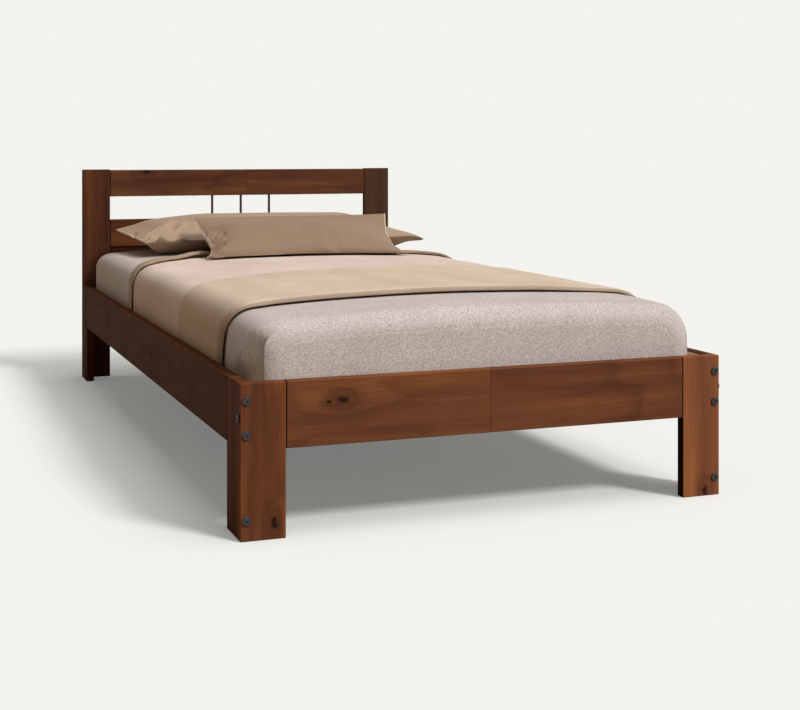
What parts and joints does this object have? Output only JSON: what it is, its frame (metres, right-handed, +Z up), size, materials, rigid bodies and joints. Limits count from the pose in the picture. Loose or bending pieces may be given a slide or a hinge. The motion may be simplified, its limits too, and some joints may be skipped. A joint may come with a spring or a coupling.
{
  "type": "bed",
  "caption": "Low wooden single bed frame with L-shaped board legs, rail headboard with thin rods, slatted base, mattress, blanket, folded band and pillows.",
  "frame": {"origin": "on the floor, midway between the bed's sides and ends", "axes": "+Z up, +Y towards the headboard, +X to the right seen from the foot end"},
  "size_m": [1.057, 2.073, 0.671],
  "materials": {
    "stained_pine": "red-brown stain under satin varnish",
    "bare_pine": "planed, unfinished",
    "painted_rod": "dark brown satin paint",
    "blackened_bolt": "black oxide, satin",
    "zinc_steel": "bright zinc plating",
    "beech_dowel": "fluted, unfinished",
    "mattress_ticking": "woven cotton ticking",
    "sheet_cloth": "grey-mauve plain weave, matt",
    "blanket_cloth": "light sand plain weave, matt",
    "band_cloth": "tan plain weave, matt",
    "rear_pillow_cloth": "pinkish tan sateen",
    "front_pillow_cloth": "tan sateen"
  },
  "bodies": {
    "root": {"foot_leg_front_left": "stained_pine", "foot_leg_front_right": "stained_pine", "foot_leg_side_left": "stained_pine", "foot_leg_side_right": "stained_pine", "foot_rail": "stained_pine", "side_rail_left": "stained_pine", "side_rail_right": "stained_pine", "head_post_left": "stained_pine", "head_post_right": "stained_pine", "head_leg_side_left": "stained_pine", "head_leg_side_right": "stained_pine", "head_top_rail": "stained_pine", "head_middle_rail": "stained_pine", "head_lower_rail": "stained_pine", "slat_ledger_left": "bare_pine", "slat_ledger_right": "bare_pine", "slat_01": "bare_pine", "slat_02": "bare_pine", "slat_03": "bare_pine", "slat_04": "bare_pine", "slat_05": "bare_pine", "slat_06": "bare_pine", "slat_07": "bare_pine", "slat_08": "bare_pine", "slat_09": "bare_pine", "slat_10": "bare_pine", "slat_11": "bare_pine", "slat_12": "bare_pine", "slat_13": "bare_pine", "headboard_rod_left": "painted_rod", "headboard_rod_middle": "painted_rod", "headboard_rod_right": "painted_rod", "side_rail_bolts": "blackened_bolt", "leg_foot_bolts": "blackened_bolt", "foot_rail_bolts": "blackened_bolt", "side_rail_nuts": "zinc_steel", "leg_foot_nuts": "zinc_steel", "foot_rail_nuts": "zinc_steel", "ledger_screws": "zinc_steel", "slat_screws": "zinc_steel", "foot_rail_dowels": "beech_dowel", "head_rail_dowels": "beech_dowel", "mattress": "mattress_ticking", "fitted_sheet": "sheet_cloth", "blanket": "blanket_cloth", "folded_band": "band_cloth", "rear_pillow": "rear_pillow_cloth", "front_pillow": "front_pillow_cloth"}
  },
  "joints": []
}
